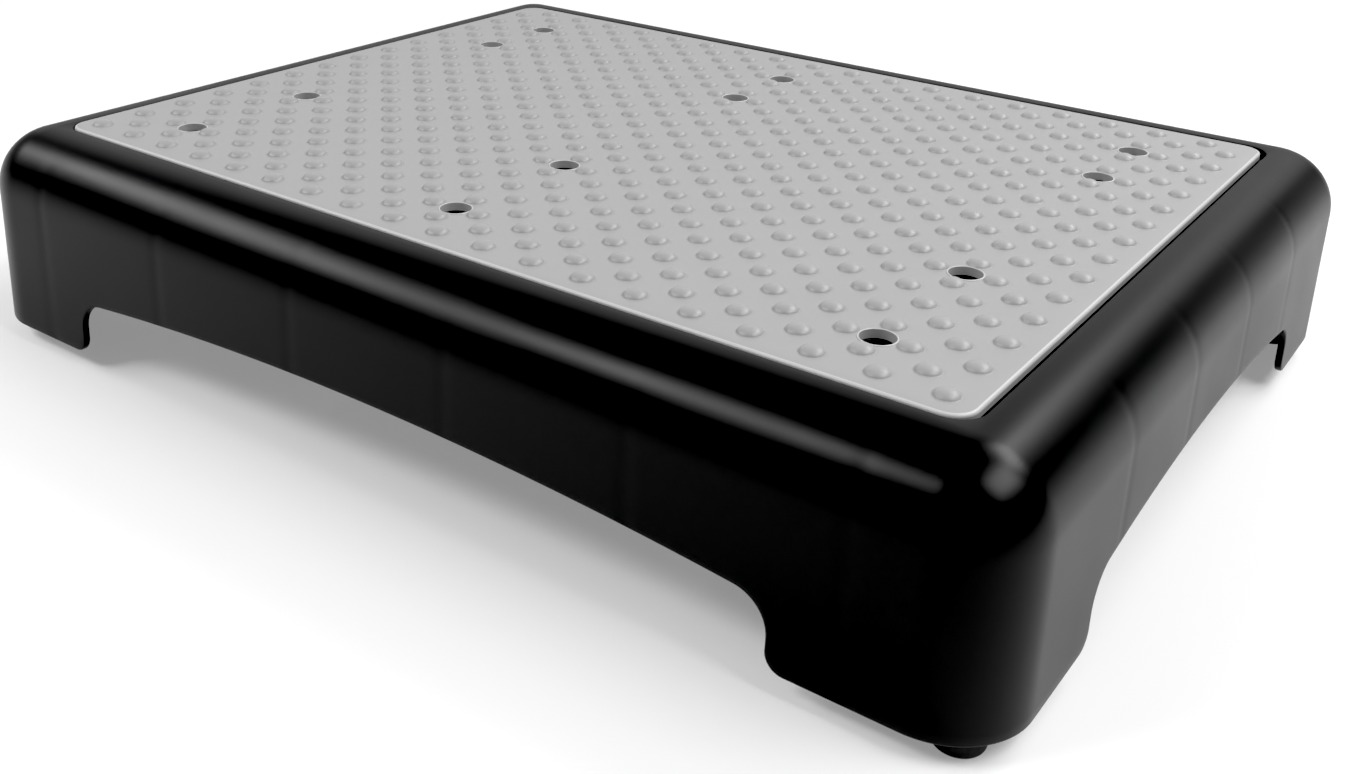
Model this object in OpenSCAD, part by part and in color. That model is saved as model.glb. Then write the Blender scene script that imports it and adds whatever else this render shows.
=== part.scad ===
// Low half step: a one-piece moulded platform with a studded grip mat let into its top
// and four rubber feet screwed up into its corners.
// Millimetres, +Z up. The origin is on the floor under the middle of the step,
// +X runs along its length and -Y is the front.

/* [Body] */
// Length of the moulding at its leg ends
body_l = 490; // [470:5:540]
// Width of the moulding at its leg ends
body_w = 390; // [385:5:430]
// Height of the moulding from its leg ends to the rim
body_h = 87; // [80:1:105]
// Thickness of the outer walls and the rim
wall_t = 3; // [2.5:0.25:3.5]
// Thickness of the deck under the mat
deck_t = 3.5; // [3:0.25:5]
// Radius of the rounded edge round the top
top_r = 26; // [20:1:26]
// Radius of the upright corners at the leg ends
corner_r = 29; // [29:0.5:30]
// Draft angle of the outer walls, in degrees
draft = 1; // [0.5:0.25:1]

/* [Arches] */
// Span of the arch in the front and rear walls
long_arch_span = 341; // [300:1:345]
// Span of the arch in the left and right walls
short_arch_span = 241; // [220:1:245]
// Height of each arch's crown above the leg ends
arch_h = 33.5; // [30:0.5:40]
// How far each arch's curved top drops from its crown to its sides
arch_rise = 9.5; // [6:0.5:12]
// Radius of an arch's upper corners
arch_corner_r = 14; // [8:1:15]
// Radius of the leg ends beside an arch
leg_end_r = 7; // [3:0.5:8]

/* [Ribs] */
// Thickness of the ribs under the deck
rib_t = 2.4; // [2:0.2:3]
// Depth of the ribs below the deck
rib_depth = 20; // [10:1:28]
// Spacing of the ribs that run from front to rear
cross_rib_pitch = 77.6; // [76:0.2:79]
// Spacing of the ribs that run along the length
long_rib_pitch = 67; // [65:0.5:69]
// How far each rib's gusset reaches in from its wall
gusset_reach = 24; // [15:1:26]

/* [Mat] */
// Length of the grip mat
mat_l = 427.5; // [425:0.5:428]
// Width of the grip mat
mat_w = 326; // [322:0.5:328]
// Thickness of the grip mat between its studs
mat_t = 3; // [2.5:0.25:4]
// Radius of the mat's corners
mat_corner_r = 9; // [5:1:15]
// Gap between the mat and the edge of its recess
mat_gap = 1.5; // [1.25:0.25:2]
// How far the mat stands above the rim
mat_proud = 0.5; // [0:0.25:1]
// How far the mat sits off the middle of its recess, to the left and to the front
mat_shift = 0.8; // [0:0.1:1]
// Half the spacing of the studs in one row, and the spacing of the rows
stud_step = 11.25; // [11:0.05:11.4]
// Diameter of a stud at the mat's surface
stud_d = 8.8; // [7:0.2:9]
// Height of a stud
stud_h = 2.2; // [1:0.1:3]
// Thickness of the adhesive sheet under the mat
adhesive_t = 0.5; // [0.3:0.1:1]

/* [Drain holes] */
// Diameter of the drain holes through the mat and the deck
drain_d = 12.2; // [8:0.1:13]

/* [Feet] */
// How far a foot stands below the leg ends
foot_drop = 8; // [5:0.5:12]
// Diameter of a rubber foot
foot_d = 17; // [15:0.5:17]
// Radius of a foot's lower edge
foot_edge_r = 2; // [1:0.25:2.5]
// Depth of the seat that a foot's top sits in
seat_depth = 2; // [1:0.5:3]
// Diameter of the post that takes a foot and its screw
boss_d = 20; // [19.5:0.25:20.5]
// Distance of a foot's axis outside the corner's own axis, along X and along Y
foot_offset = 12; // [9:0.5:12]
// Diameter of the foot screws
screw_d = 4; // [3.5:0.5:5]
// Length of the foot screws under the head
screw_l = 22; // [16:1:30]

/* [Hidden] */
$fn = 96;

eps = 0.01;
past = 5;

leg_z = foot_drop;
rim_z = leg_z + body_h;
mat_top_z = rim_z + mat_proud;
mat_low_z = mat_top_z - mat_t;
recess_z = mat_low_z - adhesive_t;
deck_z = recess_z - deck_t;
rib_z = deck_z - rib_depth;

axis_x = body_l / 2 - corner_r;
axis_y = body_w / 2 - corner_r;
foot_x = axis_x + foot_offset;
foot_y = axis_y + foot_offset;

recess_l = mat_l + 2 * mat_gap;
recess_w = mat_w + 2 * mat_gap;
recess_corner_r = mat_corner_r + mat_gap;

// Studs stand in two interleaved square grids, so every second place of one square grid is free.
stud_columns = 37;
stud_rows = 28;
stud_x0 = -mat_shift - stud_step * (stud_columns - 1) / 2;
stud_y0 = -mat_shift - stud_step * (stud_rows - 1) / 2;
// Drain holes take free places of that grid, given as column and row.
drain_columns = [3, 17, 33];
drain_rows = [2, 8, 20, 24];

cross_rib_xs = [for (i = [-2.5 : 1 : 2.5]) i * cross_rib_pitch];
long_rib_ys = [for (i = [-1.5 : 1 : 1.5]) i * long_rib_pitch];
gusset_foot = 6;
gusset_lift = 3;

boss_top_z = rim_z - top_r;
web_low_z = leg_z + 32;
web_top_z = boss_top_z - 3;
web_x = foot_x - max(cross_rib_xs);
web_y = foot_y - max(long_rib_ys);

foot_top_z = leg_z + seat_depth;
foot_bore_d = screw_d + 0.8;
counterbore_d = 2 * screw_d + 2.5;
washer_d = counterbore_d - 0.7;
washer_t = 1;
washer_z = 5;
head_d = 2 * screw_d - 0.4;
head_h = 2.6;
head_z = washer_z - washer_t;
pilot_d = screw_d + 0.1;
pilot_top_z = head_z + screw_l + 2;

// Radius of the circle through an arch's crown and the tops of its sides.
function arch_radius(span) = (span * span / 4 + arch_rise * arch_rise) / (2 * arch_rise);

// Height of an arch's edge above the floor, a distance off its middle; past the arch, the leg end.
function arch_edge_z(off, span) = abs(off) > span / 2 ? leg_z
    : leg_z + arch_h - arch_radius(span) + sqrt(pow(arch_radius(span), 2) - off * off);

// A wall's section, out from its corner axis: drafted outer face, rounded top edge. reach is
// measured at the leg ends.
module wall_section(reach, z_low, z_high, r) {
    slope = tan(draft);
    arc_z = z_high - r;
    touch_z = arc_z + r * sin(draft);
    touch_x = reach - (touch_z - leg_z) * slope;
    arc_x = touch_x - r * cos(draft);
    polygon([[0, z_low], [reach - (z_low - leg_z) * slope, z_low], [touch_x, touch_z],
             [arc_x + r / 4, arc_z + r / 4], [arc_x, z_high], [0, z_high]]);
    // The rounded edge is a wedge of a circle that starts exactly where it touches the outer face.
    // The flat part reaches into the wedge, so the two overlap.
    translate([arc_x, arc_z]) intersection() {
        circle(r);
        polygon([[0, 0], [2 * r * cos(draft), 2 * r * sin(draft)], [2 * r, 2 * r], [0, 2 * r]]);
    }
}

// Solid with drafted walls, round corners and a round top edge, its faces moved in by inset.
module drafted_block(inset, z_low) {
    z_high = rim_z - inset;
    r = top_r - inset;
    rotate([90, 0, 90]) linear_extrude(2 * axis_x, center = true) {
        translate([-axis_y, z_low]) square([2 * axis_y, z_high - z_low]);
        for (side = [0, 1]) mirror([side, 0]) translate([axis_y, 0])
            wall_section(corner_r - inset, z_low, z_high, r);
    }
    for (side = [0, 1]) mirror([side, 0, 0]) translate([axis_x, 0, 0]) {
        rotate([90, 0, 0]) linear_extrude(2 * axis_y, center = true)
            wall_section(corner_r - inset, z_low, z_high, r);
        for (end = [0, 1]) mirror([0, end, 0]) translate([0, axis_y, 0])
            rotate_extrude(angle = 90) wall_section(corner_r - inset, z_low, z_high, r);
    }
}

module rounded_rect(l, w, r) {
    square([l - 2 * r, w], center = true);
    square([l, w - 2 * r], center = true);
    for (x = [-1, 1], y = [-1, 1]) translate([x * (l / 2 - r), y * (w / 2 - r)]) circle(r);
}

module rounded_plate(l, w, r, z_low, z_high) {
    translate([0, 0, z_low]) linear_extrude(z_high - z_low) rounded_rect(l, w, r);
}

// Outline that an arch cuts out of a wall, with the leg ends beside it rounded off.
module arch_outline(span) {
    half = span / 2;
    big_r = arch_radius(span);
    centre_z = leg_z + arch_h - big_r;
    corner_x = half - arch_corner_r;
    corner_z = centre_z + sqrt(pow(big_r - arch_corner_r, 2) - corner_x * corner_x);
    touch_x = corner_x * big_r / (big_r - arch_corner_r);
    intersection() {
        translate([0, centre_z]) circle(big_r, $fn = 720);
        translate([-touch_x, corner_z - eps]) square([2 * touch_x, arch_h]);
    }
    translate([-half, leg_z - past]) square([span, corner_z - leg_z + past]);
    for (side = [-1, 1]) {
        translate([side * corner_x, corner_z]) circle(arch_corner_r);
        difference() {
            translate([side * (half + leg_end_r / 2), leg_z + leg_end_r / 2 - past / 2])
                square([leg_end_r + 2 * eps, leg_end_r + past], center = true);
            translate([side * (half + leg_end_r), leg_z + leg_end_r]) circle(leg_end_r);
        }
    }
}

// One rib across the underside, in the plane of its length and height. edge_z is where its
// gussets end on the walls.
module rib_outline(reach, edge_z) {
    low = edge_z + gusset_lift;
    foot = reach - wall_t - gusset_foot;
    inner = reach - wall_t - gusset_reach;
    polygon([[-reach, rim_z], [reach, rim_z], [reach, low], [foot, low],
             [inner, rib_z], [-inner, rib_z], [-foot, low], [-reach, low]]);
}

module rib_plates() {
    for (x = cross_rib_xs) translate([x, 0, 0]) rotate([90, 0, 90])
        linear_extrude(rib_t, center = true)
            rib_outline(body_w / 2, arch_edge_z(x, long_arch_span));
    for (y = long_rib_ys) translate([0, y, 0]) rotate([90, 0, 0])
        linear_extrude(rib_t, center = true)
            rib_outline(body_l / 2, arch_edge_z(y, short_arch_span));
}

module at_feet() {
    for (x = [-1, 1], y = [-1, 1]) translate([x * foot_x, y * foot_y, 0]) children();
}

module drain_holes(d, z_low, z_high) {
    for (i = drain_columns, j = drain_rows)
        translate([stud_x0 + i * stud_step, stud_y0 + j * stud_step, z_low])
            cylinder(d = d, h = z_high - z_low);
}

// A post in each corner for a foot and its screw.
module foot_posts() {
    at_feet() translate([0, 0, leg_z]) cylinder(d = boss_d, h = boss_top_z - leg_z);
}

// Two webs that tie each post to the nearest ribs.
module post_webs() {
    web_h = web_top_z - web_low_z;
    for (x = [-1, 1], y = [-1, 1]) {
        translate([x * (foot_x - web_x / 2), y * foot_y, web_low_z + web_h / 2])
            cube([web_x, rib_t, web_h], center = true);
        translate([x * foot_x, y * (foot_y - web_y / 2), web_low_z + web_h / 2])
            cube([rib_t, web_y, web_h], center = true);
    }
}

// The edge of the mat's recess, a wall thick, from the deck's underside up to the rim.
module recess_edge() {
    rounded_plate(recess_l + 2 * wall_t, recess_w + 2 * wall_t, recess_corner_r + wall_t,
                  deck_z, rim_z - wall_t / 2);
}

module step_body() {
    color([0.05, 0.05, 0.055]) difference() {
        union() {
            difference() {
                drafted_block(0, leg_z);
                drafted_block(wall_t, leg_z - past);
            }
            recess_edge();
            foot_posts();
        }
        rounded_plate(recess_l, recess_w, recess_corner_r, deck_z - past, rim_z + past);
        rotate([90, 0, 0]) linear_extrude(body_w + 2 * past, center = true)
            arch_outline(long_arch_span);
        rotate([90, 0, 90]) linear_extrude(body_l + 2 * past, center = true)
            arch_outline(short_arch_span);
        at_feet() translate([0, 0, leg_z - past]) cylinder(d = foot_d + 0.4, h = seat_depth + past);
        at_feet() translate([0, 0, leg_z]) cylinder(d = pilot_d, h = pilot_top_z - leg_z);
    }
}

// The deck that carries the mat, moulded in one with the body: it fills the recess's lower part.
module body_deck() {
    color([0.05, 0.05, 0.055]) difference() {
        rounded_plate(recess_l, recess_w, recess_corner_r, deck_z, recess_z);
        drain_holes(drain_d, deck_z - past, recess_z + past);
    }
}

// The rib grid, moulded in one with the body: it fills out to the body's inner faces.
module body_ribs() {
    color([0.05, 0.05, 0.055]) difference() {
        intersection() {
            union() {
                rib_plates();
                post_webs();
            }
            drafted_block(wall_t, leg_z);
        }
        recess_edge();
        foot_posts();
        drain_holes(drain_d, rib_z - past, rim_z);
    }
}

// A low round stud: the cap of a sphere, sunk a little into the mat.
module stud() {
    sink = 0.3;
    ball_r = (pow(stud_d / 2, 2) + stud_h * stud_h) / (2 * stud_h);
    rotate_extrude($fn = 32) intersection() {
        translate([0, stud_h - ball_r]) circle(ball_r, $fn = 64);
        translate([0, -sink]) square([ball_r, stud_h + sink]);
    }
}

module tread_mat() {
    color([0.62, 0.62, 0.62]) {
        difference() {
            translate([-mat_shift, -mat_shift, 0])
                rounded_plate(mat_l, mat_w, mat_corner_r, mat_low_z, mat_top_z);
            drain_holes(drain_d, mat_low_z - past, mat_top_z + past);
        }
        for (i = [0 : stud_columns - 1], j = [i % 2 : 2 : stud_rows - 1])
            translate([stud_x0 + i * stud_step, stud_y0 + j * stud_step, mat_top_z]) stud();
    }
}

module mat_adhesive() {
    margin = 6;
    color([0.85, 0.83, 0.76]) difference() {
        translate([-mat_shift, -mat_shift, 0]) rounded_plate(
            mat_l - 2 * margin, mat_w - 2 * margin, mat_corner_r, recess_z, mat_low_z);
        drain_holes(drain_d + 3, recess_z - past, mat_low_z + past);
    }
}

module foot(x, y) {
    color([0.09, 0.09, 0.09]) translate([x * foot_x, y * foot_y, 0]) difference() {
        rotate_extrude() {
            square([foot_d / 2 - foot_edge_r, foot_top_z]);
            translate([0, foot_edge_r]) square([foot_d / 2, foot_top_z - foot_edge_r]);
            translate([foot_d / 2 - foot_edge_r, foot_edge_r]) circle(foot_edge_r);
        }
        translate([0, 0, -past]) cylinder(d = counterbore_d, h = washer_z + past);
        cylinder(d = foot_bore_d, h = foot_top_z + past);
    }
}

module foot_washers() {
    color([0.72, 0.72, 0.74]) at_feet() translate([0, 0, washer_z - washer_t]) difference() {
        cylinder(d = washer_d, h = washer_t);
        translate([0, 0, -past]) cylinder(d = screw_d + 0.3, h = washer_t + 2 * past);
    }
}

module foot_screws() {
    recess_w = 1.1;
    recess_l = 4;
    recess_depth = 1.6;
    tip_h = 3;
    color([0.76, 0.76, 0.78]) at_feet() difference() {
        union() {
            translate([0, 0, head_z - head_h]) cylinder(d = head_d, h = head_h);
            translate([0, 0, head_z - eps]) cylinder(d = screw_d, h = screw_l - tip_h);
            translate([0, 0, head_z + screw_l - tip_h - 2 * eps])
                cylinder(d1 = screw_d, d2 = 1, h = tip_h);
        }
        for (turn = [0, 90]) rotate(turn) translate([0, 0, head_z - head_h])
            cube([recess_l, recess_w, 2 * recess_depth], center = true);
    }
}

step_body();
body_deck();
body_ribs();
tread_mat();
mat_adhesive();
foot(-1, -1);  // foot_front_left
foot(1, -1);  // foot_front_right
foot(-1, 1);  // foot_rear_left
foot(1, 1);  // foot_rear_right
foot_washers();
foot_screws();
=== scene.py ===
import math

import bmesh
import bpy
from mathutils import Matrix, Vector


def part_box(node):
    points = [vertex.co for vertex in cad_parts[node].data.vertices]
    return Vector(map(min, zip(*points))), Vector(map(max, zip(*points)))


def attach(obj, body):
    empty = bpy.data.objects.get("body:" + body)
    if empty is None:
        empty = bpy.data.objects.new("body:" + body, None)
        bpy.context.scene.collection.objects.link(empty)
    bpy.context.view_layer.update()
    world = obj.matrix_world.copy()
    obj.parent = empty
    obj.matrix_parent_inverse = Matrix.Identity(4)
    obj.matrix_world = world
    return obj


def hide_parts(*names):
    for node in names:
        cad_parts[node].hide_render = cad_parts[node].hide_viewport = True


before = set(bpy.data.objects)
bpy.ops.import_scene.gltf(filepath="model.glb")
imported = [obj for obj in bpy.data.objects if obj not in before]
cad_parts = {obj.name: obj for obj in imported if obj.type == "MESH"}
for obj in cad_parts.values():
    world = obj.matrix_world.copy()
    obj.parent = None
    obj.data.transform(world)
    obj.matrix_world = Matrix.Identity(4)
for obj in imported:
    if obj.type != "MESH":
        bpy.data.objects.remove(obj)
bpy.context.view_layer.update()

# ---------------------------------------------------------------- sizes, in metres
MM = 0.001
BODY_LOW, BODY_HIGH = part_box("step_body")
MAT_LOW, MAT_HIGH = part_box("tread_mat")
LEG_Z = BODY_LOW.z
RIM_Z = BODY_HIGH.z
HALF_L = (BODY_HIGH.x - BODY_LOW.x) / 2
HALF_W = (BODY_HIGH.y - BODY_LOW.y) / 2

WALL = 3 * MM
DECK = 3.5 * MM
TOP_R = 26 * MM
CORNER_R = 29 * MM
DRAFT_DEG = 1
DRAFT = math.radians(DRAFT_DEG)
AXIS_X = HALF_L - CORNER_R
AXIS_Y = HALF_W - CORNER_R
EDGE_R = 0.8 * MM
RIM_LIP_R = 0.5 * MM
RECESS_EDGE = 2.4 * MM

LONG_SPAN = 341 * MM
SHORT_SPAN = 241 * MM
ARCH_H = 33.5 * MM
ARCH_RISE = 9.5 * MM
ARCH_CORNER_R = 14 * MM
LEG_END_R = 7 * MM

RIB_T = 2.4 * MM
RIB_DEPTH = 20 * MM
CROSS_RIBS = [i * 77.6 * MM for i in (-2.5, -1.5, -0.5, 0.5, 1.5, 2.5)]
LONG_RIBS = [i * 67 * MM for i in (-1.5, -0.5, 0.5, 1.5)]
GUSSET_REACH = 24 * MM
GUSSET_FOOT = 6 * MM
GUSSET_LIFT = 3 * MM
RIB_SINK = 1 * MM

STUD_STEP = 11.25 * MM
STUD_COLUMNS, STUD_ROWS = 37, 28
STUD_R = 4.4 * MM
STUD_H = 2.2 * MM
STUD_ROUND, STUD_STEEP = 2.2, 0.62
STUD_FILLET_H, STUD_FILLET_W = 0.16 * MM, 0.32 * MM
STUD_RINGS = (1.2, 1.12, 1.06, 1.0, 0.96, 0.9, 0.8, 0.66, 0.48, 0.25)
MAT_L, MAT_W, MAT_T = 427.5 * MM, 326 * MM, 3 * MM
MAT_EDGE_R = 1.1 * MM
MAT_TOP = MAT_HIGH.z - STUD_H
MAT_CORNER_R = 9 * MM
MAT_GAP = 1.5 * MM
MAT_X = (MAT_LOW.x + MAT_HIGH.x) / 2
MAT_Y = (MAT_LOW.y + MAT_HIGH.y) / 2
DRAIN_R = 6.1 * MM
MAT_DRAIN_FLARE, DECK_DRAIN_FLARE = 0.2 * MM, 0.3 * MM
LIP_R, LIP_H = DRAIN_R + 0.25 * MM, 0.4 * MM
LIP_ROOT = 1 * MM
DRAIN_PLACES = [(i, j) for i in (3, 17, 33) for j in (2, 8, 20, 24)]

ADHESIVE = 0.5 * MM
RECESS_Z = MAT_TOP - MAT_T - ADHESIVE
DECK_Z = RECESS_Z - DECK
RECESS_HALF_L = MAT_L / 2 + MAT_GAP
RECESS_HALF_W = MAT_W / 2 + MAT_GAP
RECESS_R = MAT_CORNER_R + MAT_GAP

FOOT_OFF = 12 * MM
FOOT_X = AXIS_X + FOOT_OFF
FOOT_Y = AXIS_Y + FOOT_OFF
FOOT_R = 8.5 * MM
FOOT_EDGE_R = 2 * MM
FOOT_GROOVE_Z, FOOT_GROOVE_R, FOOT_GROOVE_HALF = 6.8 * MM, 0.5 * MM, 0.6 * MM
FOOT_CHAMFER, WELL_CHAMFER, WELL_MOUTH = 0.3 * MM, 0.4 * MM, 0.2 * MM
FOOT_WELL_R, FOOT_WELL_Z, FOOT_BORE_R = 5.25 * MM, 5 * MM, 2.4 * MM
POST_R = 10 * MM
POST_TOP = RIM_Z - TOP_R
WEB_LOW, WEB_TOP = LEG_Z + 32 * MM, POST_TOP - 3 * MM
SEAT_R = 8.7 * MM
SEAT_Z = LEG_Z + 2 * MM
PILOT_R = 2.05 * MM
PILOT_TOP = 28 * MM

# How finely the curves are divided.
CORNER_STEPS = 24
TOP_STEPS, FACE_STEPS, EDGE_STEPS = 18, 18, 3
INNER_FACE_STEPS, INNER_TOP_STEPS = 4, 8
LIP_STEPS = 3
LEG_STEPS, LEG_END_STEPS, ARCH_CORNER_STEPS = 12, 8, 14
RIB_END_STEPS = 8
HOLE_SEGMENTS, POST_SEGMENTS, FOOT_SEGMENTS = 56, 48, 64
BEAD_STEPS, MAT_EDGE_STEPS = 5, 4
FOOT_EDGE_STEPS, FOOT_GROOVE_STEPS = 8, 6
CELL_SIDE = 6
# Edges that turn more than this, in degrees, are shaded sharp.
SHELL_SHARP, RUBBER_SHARP = 32, 40


# ---------------------------------------------------------------- mesh helpers
def add_object(name, verts, faces):
    mesh = bpy.data.meshes.new(name)
    mesh.from_pydata([tuple(v) for v in verts], [], faces)
    mesh.validate()
    piece = bpy.data.objects.new(name, mesh)
    bpy.context.scene.collection.objects.link(piece)
    return piece


def recalculate(piece):
    bm = bmesh.new()
    bm.from_mesh(piece.data)
    bmesh.ops.recalc_face_normals(bm, faces=bm.faces)
    bm.to_mesh(piece.data)
    bm.free()


def lathe(name, profile, segments, centre=(0, 0)):
    """A closed turned solid. profile is [(radius, z), ...], out from the axis and back to it."""
    verts, rings = [], []
    for r, z in profile:
        if r == 0:
            rings.append([len(verts)])
            verts.append((centre[0], centre[1], z))
            continue
        rings.append(list(range(len(verts), len(verts) + segments)))
        for k in range(segments):
            a = 2 * math.pi * k / segments
            verts.append((centre[0] + r * math.cos(a), centre[1] + r * math.sin(a), z))
    faces = []
    for low, high in zip(rings, rings[1:]):
        for k in range(segments):
            n = (k + 1) % segments
            quad = [low[k % len(low)], low[n % len(low)], high[n % len(high)], high[k % len(high)]]
            face = list(dict.fromkeys(quad))
            if len(face) > 2:
                faces.append(face)
    piece = add_object(name, verts, faces)
    recalculate(piece)
    return piece


def prism(name, outline, place, thickness):
    """A flat plate. outline is [(u, v), ...]; place(u, v, w) gives a point, w across the plate."""
    n = len(outline)
    verts = [place(u, v, w) for w in (-thickness / 2, thickness / 2) for u, v in outline]
    faces = [list(range(n))[::-1], list(range(n, 2 * n))]
    faces += [[k, (k + 1) % n, n + (k + 1) % n, n + k] for k in range(n)]
    piece = add_object(name, verts, faces)
    recalculate(piece)
    return piece


def boolean(piece, tool, operation):
    """Joins tool to piece, or cuts it out, and deletes tool."""
    mod = piece.modifiers.new("boolean", "BOOLEAN")
    mod.object = tool
    mod.operation = operation
    mod.solver = "MANIFOLD"
    graph = bpy.context.evaluated_depsgraph_get()
    result = bpy.data.meshes.new_from_object(piece.evaluated_get(graph))
    piece.modifiers.clear()
    piece.data = result
    bpy.data.objects.remove(tool)


def joined(name, parts):
    """One object that holds several separate solids."""
    bm = bmesh.new()
    for part in parts:
        bm.from_mesh(part.data)
        bpy.data.objects.remove(part)
    mesh = bpy.data.meshes.new(name)
    bm.to_mesh(mesh)
    bm.free()
    piece = bpy.data.objects.new(name, mesh)
    bpy.context.scene.collection.objects.link(piece)
    return piece


def smooth(piece, degrees):
    """Welds a piece and shades it smooth, with sharp edges where it turns more than this."""
    weld = 1e-7
    bm = bmesh.new()
    bm.from_mesh(piece.data)
    bmesh.ops.remove_doubles(bm, verts=bm.verts, dist=weld)
    limit = math.radians(degrees)
    for face in bm.faces:
        face.smooth = True
    for edge in bm.edges:
        edge.smooth = edge.is_manifold and edge.calc_face_angle(0) < limit
    bm.to_mesh(piece.data)
    bm.free()


def arc(centre, radius, start, end, steps):
    """Points on a circle from one angle to another, in degrees."""
    angles = [math.radians(start + (end - start) * k / steps) for k in range(steps + 1)]
    return [(centre[0] + radius * math.cos(a), centre[1] + radius * math.sin(a)) for a in angles]


def span(start, end, steps):
    """Evenly spaced values from one number to another, both included."""
    return [start + (end - start) * k / steps for k in range(steps + 1)]


# ---------------------------------------------------------------- the moulded body
def arch_radius(width):
    """Radius of an arch's crown, from its width and rise."""
    return (width * width / 4 + ARCH_RISE * ARCH_RISE) / (2 * ARCH_RISE)


def arch_edge_z(off, width):
    """Height of a wall's lower edge, a distance off the wall's middle."""
    if abs(off) > width / 2:
        return LEG_Z
    r = arch_radius(width)
    return LEG_Z + ARCH_H - r + math.sqrt(r * r - off * off)


def lower_edge(width, reach, crown_steps):
    """The lower edge of one wall, as (distance along the wall, z) from one corner to the other."""
    half = width / 2
    big_r = arch_radius(width)
    centre_z = LEG_Z + ARCH_H - big_r
    corner_x = half - ARCH_CORNER_R
    corner_z = centre_z + math.sqrt((big_r - ARCH_CORNER_R) ** 2 - corner_x ** 2)
    tilt = math.degrees(math.asin(corner_x / (big_r - ARCH_CORNER_R)))
    side = [(p, LEG_Z) for p in span(-reach, -half - LEG_END_R, LEG_STEPS)]
    side += arc((-half - LEG_END_R, LEG_Z + LEG_END_R), LEG_END_R, -90, 0, LEG_END_STEPS)[1:]
    side += arc((-corner_x, corner_z), ARCH_CORNER_R, 180, 90 + tilt, ARCH_CORNER_STEPS)
    crown = arc((0, centre_z), big_r, 90 + tilt, 90 - tilt, crown_steps)[1:-1]
    return side + crown + [(-p, z) for p, z in reversed(side)]


def edge_normals(edge):
    """Unit normals of an edge, pointing up into the wall."""
    normals = []
    for k in range(len(edge)):
        a, b = edge[max(k - 1, 0)], edge[min(k + 1, len(edge) - 1)]
        t = Vector((b[0] - a[0], b[1] - a[1])).normalized()
        normals.append((-t.y, t.x))
    return normals


# Each wall: where its outward normal points, in degrees, the half length of its straight stretch,
# how far its corner axes stand off the middle, its arch's width, where its ribs meet it, and how
# many steps its arch's crown takes.
WALLS = [
    (-90, AXIS_X, AXIS_Y, LONG_SPAN, CROSS_RIBS, 140),
    (0, AXIS_Y, AXIS_X, SHORT_SPAN, LONG_RIBS, 100),
    (90, AXIS_X, AXIS_Y, LONG_SPAN, [-x for x in CROSS_RIBS], 140),
    (180, AXIS_Y, AXIS_X, SHORT_SPAN, [-y for y in LONG_RIBS], 100),
]
SINK_DEPTH = 0.16 * MM
SINK_WIDTH = 2.4 * MM


def wall_columns():
    """Every column of the skin: its low edge point, top place, normal and sink lines."""
    columns = []
    for angle, reach, off, width, ribs, crown_steps in WALLS:
        a = math.radians(angle)
        out = Vector((math.cos(a), math.sin(a)))
        along = Vector((-out.y, out.x))
        edge = lower_edge(width, reach, crown_steps)
        last = len(edge) - 1
        for k, (point, normal) in enumerate(zip(edge, edge_normals(edge))):
            if k == 0:
                normal = (0, 1)
            top = -reach + 2 * reach * k / last
            columns.append(dict(base=out * off, along=along, out=out, low=point, up=normal,
                                top=top, reach=reach, ribs=ribs))
        corner = out * off + along * reach
        for k in range(1, CORNER_STEPS):
            b = a + math.pi / 2 * k / CORNER_STEPS
            columns.append(dict(base=corner, along=Vector((0, 0)),
                                out=Vector((math.cos(b), math.sin(b))),
                                low=(0, LEG_Z), up=(0, 1), top=0, reach=0, ribs=[]))
    return columns


def sink(column, p):
    """Depth of the shallow sink lines that the ribs leave in the outer face."""
    return sum(SINK_DEPTH * math.exp(-((p - rib) / SINK_WIDTH) ** 2) for rib in column["ribs"])


def skin_point(column, p, z, inset):
    """A point in a drafted wall: distance along it, height, and depth behind its face."""
    d = CORNER_R - inset - (z - LEG_Z) * math.tan(DRAFT)
    flat = column["base"] + column["along"] * p + column["out"] * d
    return (flat.x, flat.y, z)


def section(inset):
    """(distance from the corner axis, z) up the round top edge, for the face at that depth."""
    r = TOP_R - inset
    arc_z = RIM_Z - inset - r
    touch_z = arc_z + r * math.sin(DRAFT)
    touch_d = CORNER_R - inset - (touch_z - LEG_Z) * math.tan(DRAFT)
    arc_d = touch_d - r * math.cos(DRAFT)
    return r, arc_d, arc_z, touch_z


def ring_point(column, half_l, half_w, r, z):
    """The point for this column on a rounded rectangle that follows the body round."""
    if column["reach"]:
        long_wall = abs(column["out"].y) > 0.5
        straight = (half_l if long_wall else half_w) - r
        off = half_w if long_wall else half_l
        flat = column["out"] * off + column["along"] * (column["top"] / column["reach"] * straight)
    else:
        corner = Vector((math.copysign(half_l - r, column["base"].x),
                         math.copysign(half_w - r, column["base"].y)))
        flat = corner + column["out"] * r
    return (flat.x, flat.y, z)


def above_edge(column, lift):
    """The point (distance along the wall, z) that stands this far above the wall's lower edge."""
    return (column["low"][0] + column["up"][0] * lift, column["low"][1] + column["up"][1] * lift)


def face_point(column, t, touch_z, inset, sunk):
    """A point a share t of the way up a wall's flat face, with the ribs' sink lines if sunk."""
    low_p, low_z = above_edge(column, EDGE_R)
    p = low_p + (column["top"] - low_p) * t
    z = low_z + (touch_z - low_z) * t
    return skin_point(column, p, z, inset + (sink(column, p) if sunk else 0))


def edge_point(column, degrees, from_inside):
    """A point on the rounding of a wall's lower edge, from 0 on its face to 90 underneath."""
    lift = EDGE_R * (1 - math.sin(math.radians(degrees)))
    inset = EDGE_R * (1 - math.cos(math.radians(degrees)))
    return skin_point(column, *above_edge(column, lift), WALL - inset if from_inside else inset)


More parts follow.
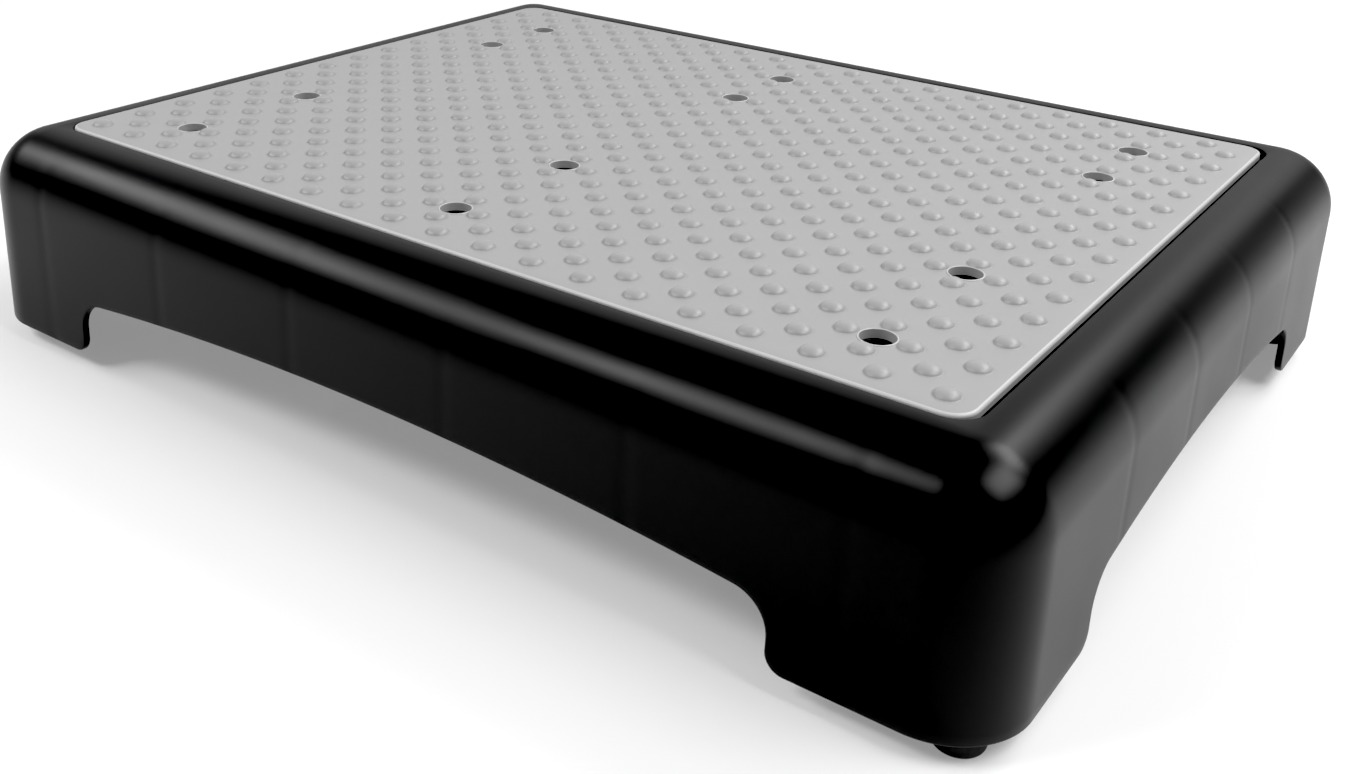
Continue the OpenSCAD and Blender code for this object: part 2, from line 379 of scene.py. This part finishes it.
def top_point(column, d, z):
    """A point on the round top edge, a distance out from the corner axis."""
    flat = column["base"] + column["along"] * column["top"] + column["out"] * d
    return (flat.x, flat.y, z)


def skin_rings(columns):
    """Closed rings of the shell's section, from the deck's top over the rim to its underside."""
    rings = []

    def ring(make):
        rings.append([make(c) for c in columns])

    def outline(grow, z):
        half_l, half_w, r = RECESS_HALF_L + grow, RECESS_HALF_W + grow, RECESS_R + grow
        ring(lambda c: ring_point(c, half_l, half_w, r, z))

    # The recess and the rim's inner lip.
    for z in (RECESS_Z, RIM_Z - RIM_LIP_R):
        outline(0, z)
    for grow, z in arc((RIM_LIP_R, RIM_Z - RIM_LIP_R), RIM_LIP_R, 180, 90, LIP_STEPS)[1:]:
        outline(grow, z)
    # The outer face: round top edge, flat wall, rounded lower edge.
    r, arc_d, arc_z, touch_z = section(0)
    for degrees in span(90, DRAFT_DEG, TOP_STEPS):
        d = arc_d + r * math.cos(math.radians(degrees))
        z = arc_z + r * math.sin(math.radians(degrees))
        fade = math.cos(math.radians(degrees))
        ring(lambda c: top_point(c, d - fade * sink(c, c["top"]), z))
    for t in span(1, 0, FACE_STEPS)[1:]:
        ring(lambda c: face_point(c, t, touch_z, 0, True))
    for degrees in span(0, 90, EDGE_STEPS)[1:]:
        ring(lambda c: edge_point(c, degrees, False))
    # The inner face, back up to the deck's underside.
    for degrees in span(90, 0, EDGE_STEPS):
        ring(lambda c: edge_point(c, degrees, True))
    r, arc_d, arc_z, touch_z = section(WALL)
    for t in span(0, 1, INNER_FACE_STEPS)[1:]:
        ring(lambda c: face_point(c, t, touch_z, WALL, False))
    for degrees in span(DRAFT_DEG, 90, INNER_TOP_STEPS)[1:]:
        d = arc_d + r * math.cos(math.radians(degrees))
        z = arc_z + r * math.sin(math.radians(degrees))
        ring(lambda c: top_point(c, d, z))
    for z in (RIM_Z - WALL, DECK_Z):
        outline(RECESS_EDGE, z)
    return rings


def shell_skin():
    """The shell's whole skin as one closed mesh, before its ribs and holes."""
    columns = wall_columns()
    rings = skin_rings(columns)
    n = len(columns)
    verts = [v for ring in rings for v in ring]
    faces = [list(range(n)), list(range((len(rings) - 1) * n, len(rings) * n))[::-1]]
    for k in range(len(rings) - 1):
        for i in range(n):
            j = (i + 1) % n
            faces.append([k * n + i, k * n + j, (k + 1) * n + j, (k + 1) * n + i])
    piece = add_object("step_shell", verts, faces)
    recalculate(piece)
    return piece


def rib_outline(reach, edge_z):
    """A rib's side: top sunk into the deck, ends inside the walls, a gusset down each wall."""
    r, arc_d, arc_z, touch_z = section(WALL / 2)
    axis = reach - CORNER_R
    top = DECK_Z + RIB_SINK
    low = edge_z + GUSSET_LIFT
    last = math.degrees(math.asin((top - arc_z) / r))
    end = [(axis + u, v) for u, v in arc((arc_d, arc_z), r, last, DRAFT_DEG, RIB_END_STEPS)]
    foot_u = axis + CORNER_R - WALL / 2 - (low - LEG_Z) * math.tan(DRAFT)
    end += [(foot_u, low), (reach - WALL - GUSSET_FOOT, low),
            (reach - WALL - GUSSET_REACH, DECK_Z - RIB_DEPTH)]
    return end + [(-u, v) for u, v in reversed(end)]


def underside():
    """Ribs, corner posts and their webs, joined into one solid."""
    parts = [prism("rib", rib_outline(HALF_W, arch_edge_z(x, LONG_SPAN)),
                   lambda u, v, w, x=x: (x + w, u, v), RIB_T) for x in CROSS_RIBS]
    parts += [prism("rib", rib_outline(HALF_L, arch_edge_z(y, SHORT_SPAN)),
                    lambda u, v, w, y=y: (u, y + w, v), RIB_T) for y in LONG_RIBS]
    post = [(0, LEG_Z), (POST_R, LEG_Z), (POST_R, POST_TOP), (0, POST_TOP)]
    for sx in (-1, 1):
        for sy in (-1, 1):
            x, y = sx * FOOT_X, sy * FOOT_Y
            parts.append(lathe("post", post, POST_SEGMENTS, (x, y)))
            rib_x, rib_y = sx * max(CROSS_RIBS), sy * max(LONG_RIBS)
            outline = [(rib_x, WEB_LOW), (x, WEB_LOW), (x, WEB_TOP), (rib_x, WEB_TOP)]
            parts.append(prism("web", outline, lambda u, v, w, y=y: (u, y + w, v), RIB_T))
            outline = [(rib_y, WEB_LOW), (y, WEB_LOW), (y, WEB_TOP), (rib_y, WEB_TOP)]
            parts.append(prism("web", outline, lambda u, v, w, x=x: (x + w, u, v), RIB_T))
    whole = parts[0]
    for part in parts[1:]:
        boolean(whole, part, "UNION")
    return whole


def stud_place(i, j):
    """Where the place in column i and row j of the stud grid is."""
    return (MAT_X + (i - (STUD_COLUMNS - 1) / 2) * STUD_STEP,
            MAT_Y + (j - (STUD_ROWS - 1) / 2) * STUD_STEP)


def drain_cutters(z_low, z_high, flare):
    """One cutter for every drain hole, opened out by flare at its top edge."""
    low = [(0, z_low), (DRAIN_R, z_low), (DRAIN_R, z_high - flare)]
    high = [(DRAIN_R + 2 * flare, z_high + flare), (0, z_high + flare)]
    return joined("drains", [lathe("cutter", low + high, HOLE_SEGMENTS, stud_place(i, j))
                             for i, j in DRAIN_PLACES])


def build_shell():
    shell = shell_skin()
    boolean(shell, underside(), "UNION")
    below_ribs, above_deck = DECK_Z - 1.5 * RIB_DEPTH, RECESS_Z + 0.2 * MM
    boolean(shell, drain_cutters(below_ribs, above_deck, DECK_DRAIN_FLARE), "DIFFERENCE")
    seat = [(0, 0), (SEAT_R, 0), (SEAT_R, SEAT_Z), (PILOT_R, SEAT_Z), (PILOT_R, PILOT_TOP),
            (0, PILOT_TOP + PILOT_R)]
    seats = [lathe("seat", seat, POST_SEGMENTS, (sx * FOOT_X, sy * FOOT_Y))
             for sx in (-1, 1) for sy in (-1, 1)]
    boolean(shell, joined("seats", seats), "DIFFERENCE")
    smooth(shell, SHELL_SHARP)
    return shell


# ---------------------------------------------------------------- the grip mat
def stud_z(r):
    """Height of a stud at a radius: a low dome, steep at its side, with a soft fillet round it."""
    dome = STUD_H * max(1 - (r / STUD_R) ** STUD_ROUND, 0) ** STUD_STEEP
    fillet = STUD_FILLET_H * math.exp(-((r - STUD_R) / STUD_FILLET_W) ** 2)
    return max(dome, fillet)


def cell_border():
    """Places round a square cell, anticlockwise from its low corner, in cell units."""
    side = [k / CELL_SIDE - 0.5 for k in range(CELL_SIDE)]
    return ([(s, -0.5) for s in side] + [(0.5, s) for s in side]
            + [(-s, 0.5) for s in side] + [(-0.5, -s) for s in side])


def drain_lips():
    """The low rounded lip that stands round each drain hole."""
    bead = [(0, MAT_TOP - LIP_ROOT), (LIP_R + LIP_H, MAT_TOP - LIP_ROOT)]
    bead += arc((LIP_R, MAT_TOP), LIP_H, 0, 90, BEAD_STEPS) + [(0, MAT_TOP + LIP_H)]
    return joined("lips", [lathe("lip", bead, HOLE_SEGMENTS, stud_place(i, j))
                           for i, j in DRAIN_PLACES])


def build_mat():
    """The mat: square cells, every second one with a stud, in a plain round-edged margin."""
    border = cell_border()
    turns = [math.atan2(v, u) for u, v in border]
    verts, faces, index = [], [], {}

    def vertex(x, y, z):
        key = (round(x * 1e6), round(y * 1e6), round(z * 1e7))
        if key not in index:
            index[key] = len(verts)
            verts.append((x, y, z))
        return index[key]

    n = len(border)
    for i in range(STUD_COLUMNS):
        for j in range(STUD_ROWS):
            cx, cy = stud_place(i, j)
            outer = [vertex(cx + u * STUD_STEP, cy + v * STUD_STEP, MAT_TOP) for u, v in border]
            if (i + j) % 2:
                faces.append(outer)
                continue
            for r in (STUD_R * k for k in STUD_RINGS):
                z = MAT_TOP + stud_z(r)
                inner = [vertex(cx + r * math.cos(a), cy + r * math.sin(a), z) for a in turns]
                faces += [[outer[k], outer[(k + 1) % n], inner[(k + 1) % n], inner[k]]
                          for k in range(n)]
                outer = inner
            tip = vertex(cx, cy, MAT_TOP + STUD_H)
            faces += [[outer[k], outer[(k + 1) % n], tip] for k in range(n)]

    # The plain margin round the studs, the rounded edge, the side and the underside.
    x0, y0 = stud_place(-0.5, -0.5)
    x1, y1 = stud_place(STUD_COLUMNS - 0.5, STUD_ROWS - 0.5)
    nx, ny = STUD_COLUMNS * CELL_SIDE, STUD_ROWS * CELL_SIDE
    frame_pts = [(x, y0) for x in span(x0, x1, nx)[:-1]]
    frame_pts += [(x1, y) for y in span(y0, y1, ny)[:-1]]
    frame_pts += [(x, y1) for x in span(x1, x0, nx)[:-1]]
    frame_pts += [(x0, y) for y in span(y1, y0, ny)[:-1]]
    rows = [[vertex(x, y, MAT_TOP) for x, y in frame_pts]]
    low_z = MAT_TOP - MAT_T

    def rim(grow, z):
        reach_x, reach_y = MAT_L / 2 + grow, MAT_W / 2 + grow
        r = MAT_CORNER_R + grow
        row = []
        for x, y in frame_pts:
            u, v = x - MAT_X, y - MAT_Y
            scale = min(reach_x / abs(u) if u else math.inf, reach_y / abs(v) if v else math.inf)
            u, v = u * scale, v * scale
            cu, cv = max(abs(u) - (reach_x - r), 0), max(abs(v) - (reach_y - r), 0)
            if cu and cv:
                pull = r / math.hypot(cu, cv)
                u = math.copysign(reach_x - r + cu * pull, u)
                v = math.copysign(reach_y - r + cv * pull, v)
            row.append(vertex(MAT_X + u, MAT_Y + v, z))
        rows.append(row)

    for u, v in arc((-MAT_EDGE_R, MAT_TOP - MAT_EDGE_R), MAT_EDGE_R, 90, 0, MAT_EDGE_STEPS):
        rim(u, v)
    rim(0, low_z)
    m = len(frame_pts)
    for inner, outer in zip(rows, rows[1:]):
        faces += [[inner[k], outer[k], outer[(k + 1) % m], inner[(k + 1) % m]] for k in range(m)]
    faces.append(rows[-1][::-1])
    mat = add_object("grip_mat", verts, faces)
    recalculate(mat)
    boolean(mat, drain_lips(), "UNION")
    boolean(mat, drain_cutters(low_z - LIP_ROOT, MAT_TOP + LIP_H, MAT_DRAIN_FLARE), "DIFFERENCE")
    smooth(mat, RUBBER_SHARP)
    return mat


def paint_edge_highlight(mat):
    """Gives the mat's second, lighter material to the drain holes' lips and its rounded outer
    edge: a painted highlight along these edges.
    """
    places = [stud_place(i, j) for i, j in DRAIN_PLACES]
    reach_x, reach_y = MAT_L / 2 - MAT_EDGE_R, MAT_W / 2 - MAT_EDGE_R
    for face in mat.data.polygons:
        x, y, z = face.center
        if z < MAT_TOP - MAT_EDGE_R or z > MAT_TOP + LIP_H:
            continue
        lip = any(math.hypot(x - u, y - v) < LIP_R + LIP_H for u, v in places)
        corner = (abs(x - MAT_X) - MAT_L / 2 + MAT_CORNER_R,
                  abs(y - MAT_Y) - MAT_W / 2 + MAT_CORNER_R)
        rounded = min(corner) > 0 and math.hypot(*corner) > MAT_CORNER_R - MAT_EDGE_R
        if lip or rounded or abs(x - MAT_X) > reach_x or abs(y - MAT_Y) > reach_y:
            face.material_index = 1


# ---------------------------------------------------------------- the feet
def build_foot(name, x, y):
    """A moulded foot: flat ring on the floor, rounded edges, a shallow groove and a screw well."""
    profile = [(FOOT_WELL_R + WELL_MOUTH, 0), (FOOT_R - FOOT_EDGE_R, 0)]
    profile += arc((FOOT_R - FOOT_EDGE_R, FOOT_EDGE_R), FOOT_EDGE_R, -90, 0, FOOT_EDGE_STEPS)[1:]
    profile += [(FOOT_R, FOOT_GROOVE_Z - FOOT_GROOVE_HALF)]
    profile += arc((FOOT_R, FOOT_GROOVE_Z), FOOT_GROOVE_R, 270, 90, FOOT_GROOVE_STEPS)
    profile += [(FOOT_R, FOOT_GROOVE_Z + FOOT_GROOVE_HALF)]
    profile += [(FOOT_R, SEAT_Z - FOOT_CHAMFER), (FOOT_R - FOOT_CHAMFER, SEAT_Z)]
    profile += [(FOOT_BORE_R, SEAT_Z), (FOOT_BORE_R, FOOT_WELL_Z)]
    profile += [(FOOT_WELL_R - WELL_CHAMFER, FOOT_WELL_Z)]
    profile += [(FOOT_WELL_R, FOOT_WELL_Z - WELL_CHAMFER), (FOOT_WELL_R, WELL_MOUTH)]
    verts = []
    for r, z in profile:
        for k in range(FOOT_SEGMENTS):
            a = 2 * math.pi * k / FOOT_SEGMENTS
            verts.append((x + r * math.cos(a), y + r * math.sin(a), z))
    faces = []
    for q in range(len(profile)):
        low, high = q * FOOT_SEGMENTS, (q + 1) % len(profile) * FOOT_SEGMENTS
        for k in range(FOOT_SEGMENTS):
            n = (k + 1) % FOOT_SEGMENTS
            faces.append([low + k, low + n, high + n, high + k])
    foot = add_object(name, verts, faces)
    recalculate(foot)
    smooth(foot, RUBBER_SHARP)
    return foot


# ---------------------------------------------------------------- materials
def new_material(name):
    mat = bpy.data.materials.new(name)
    mat.use_nodes = True
    nodes = mat.node_tree.nodes
    return mat, nodes, mat.node_tree.links, nodes["Principled BSDF"]


def noise(nodes, links, scale, detail):
    """Noise over the object's own coordinates, scale in features per metre."""
    place = nodes.new("ShaderNodeTexCoord")
    node = nodes.new("ShaderNodeTexNoise")
    node.inputs["Scale"].default_value = scale
    node.inputs["Detail"].default_value = detail
    node.inputs["Roughness"].default_value = 0.5
    links.new(place.outputs["Object"], node.inputs["Vector"])
    return node.outputs["Fac"]


def ramp(nodes, links, source, low, high, start=0.3, end=0.7):
    """Runs from low to high while the source runs from start to end."""
    node = nodes.new("ShaderNodeMapRange")
    node.inputs["From Min"].default_value = start
    node.inputs["From Max"].default_value = end
    node.inputs["To Min"].default_value = low
    node.inputs["To Max"].default_value = high
    links.new(source, node.inputs["Value"])
    return node.outputs["Result"]


def tint(nodes, links, source, dark, light):
    """A colour between dark and light."""
    node = nodes.new("ShaderNodeMix")
    node.data_type = "RGBA"
    node.inputs["A"].default_value = (*dark, 1)
    node.inputs["B"].default_value = (*light, 1)
    links.new(source, node.inputs["Factor"])
    return node.outputs["Result"]


def bump(nodes, links, shader, height, distance, strength):
    """Fine surface grain, its depth in metres."""
    node = nodes.new("ShaderNodeBump")
    node.inputs["Distance"].default_value = distance
    node.inputs["Strength"].default_value = strength
    links.new(height, node.inputs["Height"])
    links.new(node.outputs["Normal"], shader.inputs["Normal"])


def shell_material():
    mat, nodes, links, shader = new_material("black_satin_plastic")
    flow = noise(nodes, links, scale=14, detail=3)
    links.new(tint(nodes, links, flow, (0.0035, 0.0035, 0.0037), (0.006, 0.006, 0.0062)),
              shader.inputs["Base Color"])
    links.new(ramp(nodes, links, flow, low=0.30, high=0.36), shader.inputs["Roughness"])
    shader.inputs["Specular IOR Level"].default_value = 0.24
    bump(nodes, links, shader, noise(nodes, links, scale=2600, detail=2),
         distance=0.00003, strength=0.35)
    return mat


def mat_material(name, dark, light):
    mat, nodes, links, shader = new_material(name)
    flow = noise(nodes, links, scale=30, detail=4)
    links.new(tint(nodes, links, flow, dark, light), shader.inputs["Base Color"])
    links.new(ramp(nodes, links, flow, low=0.36, high=0.44), shader.inputs["Roughness"])
    shader.inputs["Specular IOR Level"].default_value = 0.45
    bump(nodes, links, shader, noise(nodes, links, scale=1800, detail=3),
         distance=0.00003, strength=0.3)
    return mat


def foot_material():
    mat, nodes, links, shader = new_material("black_foot_rubber")
    flow = noise(nodes, links, scale=300, detail=3)
    links.new(tint(nodes, links, flow, (0.008, 0.008, 0.008), (0.016, 0.016, 0.016)),
              shader.inputs["Base Color"])
    links.new(ramp(nodes, links, flow, low=0.6, high=0.75), shader.inputs["Roughness"])
    bump(nodes, links, shader, noise(nodes, links, scale=3500, detail=2),
         distance=0.00004, strength=0.5)
    return mat


def steel_material():
    mat, nodes, links, shader = new_material("zinc_plated_steel")
    grain = noise(nodes, links, scale=900, detail=4)
    links.new(tint(nodes, links, grain, (0.58, 0.58, 0.6), (0.74, 0.74, 0.75)),
              shader.inputs["Base Color"])
    links.new(ramp(nodes, links, grain, low=0.24, high=0.42), shader.inputs["Roughness"])
    shader.inputs["Metallic"].default_value = 1.0
    bump(nodes, links, shader, grain, distance=0.00002, strength=0.4)
    return mat


def adhesive_material():
    mat, nodes, links, shader = new_material("adhesive_film")
    flow = noise(nodes, links, scale=120, detail=3)
    links.new(tint(nodes, links, flow, (0.62, 0.58, 0.47), (0.72, 0.69, 0.58)),
              shader.inputs["Base Color"])
    links.new(ramp(nodes, links, flow, low=0.45, high=0.6), shader.inputs["Roughness"])
    bump(nodes, links, shader, flow, distance=0.00005, strength=0.4)
    return mat


def floor_material():
    mat, nodes, links, shader = new_material("pale_floor")
    flow = noise(nodes, links, scale=2, detail=2)
    links.new(tint(nodes, links, flow, (0.70, 0.70, 0.70), (0.72, 0.72, 0.72)),
              shader.inputs["Base Color"])
    shader.inputs["Roughness"].default_value = 0.7
    shader.inputs["Specular IOR Level"].default_value = 0.1
    shader.inputs["Emission Color"].default_value = (1, 1, 1, 1)
    shader.inputs["Emission Strength"].default_value = 0.2
    return mat


def paint(piece, material):
    piece.data.materials.clear()
    piece.data.materials.append(material)


# ---------------------------------------------------------------- floor, lights, camera
def build_stage():
    """The floor, wide enough that its far edge is never seen."""
    reach = 30.0
    corners = [(-reach, -reach, 0), (reach, -reach, 0), (reach, reach, 0), (-reach, reach, 0)]
    floor = add_object("floor", corners, [[0, 1, 2, 3]])
    paint(floor, floor_material())


def build_world():
    """Even studio surroundings, brighter at the horizon than overhead."""
    horizon, overhead = 0.65, 0.12
    world = bpy.data.worlds.new("studio")
    bpy.context.scene.world = world
    world.use_nodes = True
    nodes, links = world.node_tree.nodes, world.node_tree.links
    place = nodes.new("ShaderNodeTexCoord")
    split = nodes.new("ShaderNodeSeparateXYZ")
    links.new(place.outputs["Generated"], split.inputs["Vector"])
    level = ramp(nodes, links, split.outputs["Z"], low=horizon, high=overhead, start=0.0, end=0.15)
    links.new(level, nodes["Background"].inputs["Strength"])
    nodes["Background"].inputs["Color"].default_value = (1, 1, 1, 1)


def softbox(name, azimuth, elevation, distance, size, radiance):
    """A rectangular light aimed at the step. Azimuth 0 is behind the step and 90 is on its right,
    in degrees; distance and size are in metres, and radiance is how bright its face looks."""
    a, e = math.radians(azimuth), math.radians(elevation)
    target = Vector((0, 0, 0.06))
    away = Vector((math.sin(a) * math.cos(e), math.cos(a) * math.cos(e), math.sin(e)))
    lamp = bpy.data.lights.new(name, "AREA")
    lamp.shape = "RECTANGLE"
    lamp.size, lamp.size_y = size
    lamp.energy = math.pi * size[0] * size[1] * radiance
    holder = bpy.data.objects.new(name, lamp)
    holder.location = target + away * distance
    holder.rotation_euler = (-away).to_track_quat("-Z", "Y").to_euler()
    bpy.context.scene.collection.objects.link(holder)


def build_lights():
    #       name, azimuth, elevation, distance, size, radiance
    softbox("right", 88, 50, 1.5, (0.9, 0.6), 5.5)
    softbox("key_back_right", 30, 46, 1.9, (1.0, 0.6), 6.5)
    softbox("left", -118, 34, 2.0, (0.9, 0.4), 7.0)
    softbox("front_left", -148, 45, 2.0, (0.6, 0.45), 10.0)
    softbox("back", -30, 28, 2.5, (4.6, 1.4), 0.5)


def build_camera():
    """The camera stands high off the front right corner, with a slight roll."""
    place = Vector((0.3444, -0.5183, 0.2927))
    azimuth, elevation, roll = (math.radians(a) for a in (36.274, 21.717, 1.452))
    back = Vector((math.sin(azimuth) * math.cos(elevation),
                   -math.cos(azimuth) * math.cos(elevation), math.sin(elevation)))
    data = bpy.data.cameras.new("camera")
    data.lens = 38.72
    data.sensor_width = 36
    data.shift_x, data.shift_y = 0.0519, -0.1089
    camera = bpy.data.objects.new("camera", data)
    turn = (-back).to_track_quat("-Z", "Y").to_matrix().to_4x4() @ Matrix.Rotation(roll, 4, "Z")
    camera.matrix_world = Matrix.Translation(place) @ turn
    bpy.context.scene.collection.objects.link(camera)
    bpy.context.scene.camera = camera


# ---------------------------------------------------------------- putting it together
build_camera()
build_stage()
build_world()
build_lights()

shell_look = shell_material()
shell = build_shell()
paint(shell, shell_look)
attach(shell, "root")
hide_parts("step_body", "body_deck", "body_ribs")

grip_mat = build_mat()
paint(grip_mat, mat_material("grey_grip_rubber", (0.34, 0.34, 0.34), (0.37, 0.37, 0.37)))
# The drain lips and the mat's rounded edge get a lighter grey: a painted highlight for the light
# these edges catch, not a different rubber.
grip_edge_highlight = mat_material("rubber_edge_painted_highlight", (0.52, 0.52, 0.52), (0.56, 0.56, 0.56))
grip_mat.data.materials.append(grip_edge_highlight)
paint_edge_highlight(grip_mat)
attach(grip_mat, "root")
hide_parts("tread_mat")

rubber = foot_material()
for node_name, side_x, side_y in (("foot_front_left", -1, -1), ("foot_front_right", 1, -1),
                                  ("foot_rear_left", -1, 1), ("foot_rear_right", 1, 1)):
    foot = build_foot("rubber_" + node_name, side_x * FOOT_X, side_y * FOOT_Y)
    paint(foot, rubber)
    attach(foot, "root")
    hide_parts(node_name)

steel = steel_material()
for node_name in ("foot_washers", "foot_screws"):
    paint(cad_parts[node_name], steel)
paint(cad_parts["mat_adhesive"], adhesive_material())

# High contrast: these brightnesses are shown as black and as white.
BLACK, WHITE = 0.02, 0.72
view = bpy.context.scene.view_settings
view.view_transform = "Standard"
view.use_curve_mapping = True
view.curve_mapping.black_level = (BLACK,) * 3
view.curve_mapping.white_level = (WHITE,) * 3
